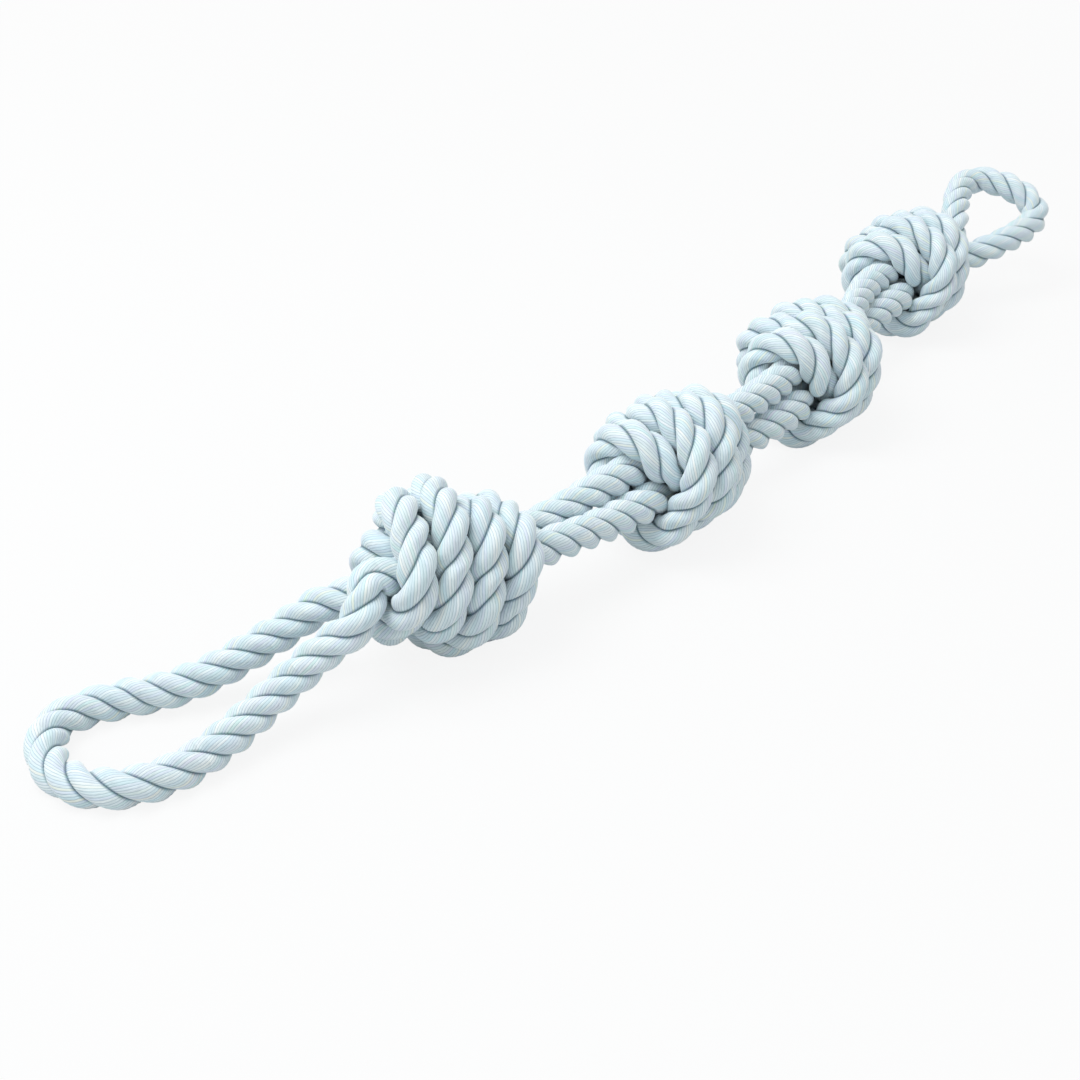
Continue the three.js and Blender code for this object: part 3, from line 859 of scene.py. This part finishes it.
# The hand loop: each leg is laid as a piece at its root by the knot and a piece on to the bight,
# and the bight rides on a body of its own
ROOT_END, FOLD_START, FOLD_END, BIGHT_START = 40.0, 48.0, 88.0, 94.0
heading = heading_of(KNOTS[0][1])
reach = (middles["knot_1"] - EXIT * heading - spine) @ heading
first = ranges["near_loop_leg_b"][0] - GIVEN_RINGS
last = ranges["near_loop_leg_a"][1] + GIVEN_RINGS
loop = np.arange(first, last + 1)
root_rings = loop[reach[loop] >= ROOT_END][[0, -1]]
bight_rings = loop[reach[loop] >= BIGHT_START][[0, -1]]
root = middle_of(first, last)
fold = middle_of(ranges["near_loop_leg_b"][1], ranges["near_loop_leg_a"][0])
outward = unit(fold - root)
for letter, start, root_ring, bight_ring in (
    ("b", first, root_rings[0], bight_rings[0]), ("a", last, root_rings[1], bight_rings[1]),
):
    node = f"near_loop_leg_{letter}"
    piece = rope_piece(f"laid_{node}_root", min(start, root_ring), max(start, root_ring))
    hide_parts(node)
    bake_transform(piece)
    piece = rope_piece(f"laid_{node}_fold", min(root_ring, bight_ring), max(root_ring, bight_ring))
    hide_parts(node, "near_loop_bight")
    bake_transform(piece)
piece = loop_cord("laid_near_loop_bight", "near_bight", *[int(ring) for ring in bight_rings])
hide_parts("near_loop_bight")

# The far loop: a piece at each of its roots by the knot, and the bight on a body of its own
FAR_ROOT_BEND, FAR_ROOT_END = 32.0, 33.0
heading = heading_of(KNOTS[3][1])
reach = (spine - middles["knot_4"] - EXIT * heading) @ heading
first = ranges["far_loop"][0] - GIVEN_RINGS
last = ranges["far_loop"][1] + GIVEN_RINGS
loop = np.arange(first, last + 1)
bight_rings = [int(ring) for ring in loop[reach[loop] >= FAR_ROOT_END][[0, -1]]]
root = middle_of(first, last)
for label, start, end in (("start", first, bight_rings[0]), ("end", bight_rings[1], last)):
    piece = rope_piece(f"laid_far_loop_root_{label}", start, end)
    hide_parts("far_loop")
    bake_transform(piece)
piece = loop_cord("laid_far_loop_bight", "far_loop", *bight_rings)
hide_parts("far_loop")


# The stage: lengths in metres, the camera's place from the second knot in millimetres
FLOOR_HALF = 3.0
WHITE_FROM, WHITE_TO, NEAR_WHITE = 0.5, 2.5, 0.88
AMBIENT = 0.7
LAMP_SIZE, LAMP_WATTS = 1.1, 19.0
LAMP_PLACE = (-0.55, 0.5, 1.5)
SENSOR, LENS = 36.0, 53.33
BEARING, PITCH = 43.13, 33.0
CAMERA_FROM_KNOT = [-562.45, -432.4, 450.5]


def shown(tree):
    """One where the camera sees the surface, straight or in something shiny or clear."""
    rays = add(tree, "ShaderNodeLightPath").outputs
    shiny = add(tree, "ShaderNodeMath", {
        0: rays["Is Camera Ray"], 1: rays["Is Glossy Ray"],
    }, operation="MAXIMUM").outputs[0]
    return add(tree, "ShaderNodeMath", {
        0: shiny, 1: rays["Is Transmission Ray"],
    }, operation="MAXIMUM").outputs[0]


def studio_floor():
    """A plain white floor that keeps a soft shadow and fades into the background."""
    mesh = bpy.data.meshes.new("studio_floor")
    half = FLOOR_HALF
    corners = [(-half, -half, 0), (half, -half, 0), (half, half, 0), (-half, half, 0)]
    mesh.from_pydata(corners, [], [(0, 1, 2, 3)])
    floor = bpy.data.objects.new("studio_floor", mesh)
    bpy.context.collection.objects.link(floor)
    material = bpy.data.materials.new("matt white paper")
    material.use_nodes = True
    tree = material.node_tree
    tree.nodes.clear()
    paper = add(tree, "ShaderNodeBsdfDiffuse", {"Color": linear("#D4D7D8")}).outputs[0]
    glow = add(tree, "ShaderNodeEmission", {"Color": linear("#FFFFFF"), "Strength": 1.0}).outputs[0]
    place = add(tree, "ShaderNodeNewGeometry").outputs["Position"]
    away = add(tree, "ShaderNodeVectorMath", {0: place}, operation="LENGTH").outputs["Value"]
    white = add(tree, "ShaderNodeMapRange", {
        "Value": away, "From Min": WHITE_FROM, "From Max": WHITE_TO,
        "To Min": NEAR_WHITE, "To Max": 1.0,
    }).outputs[0]
    share = add(tree, "ShaderNodeMath", {0: shown(tree), 1: white}, operation="MULTIPLY").outputs[0]
    mixed = add(tree, "ShaderNodeMixShader", {0: share, 1: paper, 2: glow}).outputs[0]
    add(tree, "ShaderNodeOutputMaterial", {"Surface": mixed})
    mesh.materials.append(material)


def studio_light():
    """Even white light from all round, and one large soft lamp above."""
    world = bpy.data.worlds.new("studio")
    bpy.context.scene.world = world
    world.use_nodes = True
    tree = world.node_tree
    tree.nodes.clear()
    strength = add(tree, "ShaderNodeMapRange", {
        "Value": shown(tree), "To Min": AMBIENT, "To Max": 1.0,
    }).outputs[0]
    sky = add(tree, "ShaderNodeBackground", {
        "Color": linear("#FFFFFF"), "Strength": strength,
    }).outputs[0]
    add(tree, "ShaderNodeOutputWorld", {"Surface": sky})
    lamp_data = bpy.data.lights.new("soft_box", "AREA")
    lamp_data.shape = "SQUARE"
    lamp_data.size = LAMP_SIZE
    lamp_data.energy = LAMP_WATTS
    lamp = bpy.data.objects.new("soft_box", lamp_data)
    bpy.context.collection.objects.link(lamp)
    lamp.location = LAMP_PLACE
    lamp.rotation_mode = "QUATERNION"
    lamp.rotation_quaternion = (Vector((0, 0, 0)) - lamp.location).to_track_quat("-Z", "Y")


def photo_camera():
    """A camera above the hand loop's side of the toy that looks down along the row."""
    data = bpy.data.cameras.new("photo_camera")
    data.sensor_width = SENSOR
    data.lens = LENS
    camera = bpy.data.objects.new("photo_camera", data)
    bpy.context.collection.objects.link(camera)
    bpy.context.scene.camera = camera
    bearing, down = math.radians(BEARING), math.radians(PITCH)
    ahead = math.cos(down)
    look = Vector((math.cos(bearing) * ahead, math.sin(bearing) * ahead, -math.sin(down)))
    camera.location = Vector(middles["knot_2"] + CAMERA_FROM_KNOT) * MM
    camera.rotation_mode = "QUATERNION"
    camera.rotation_quaternion = look.to_track_quat("-Z", "Y")


photo_camera()
studio_floor()
studio_light()
bpy.context.scene.view_settings.view_transform = "Standard"

bpy.context.view_layer.update()
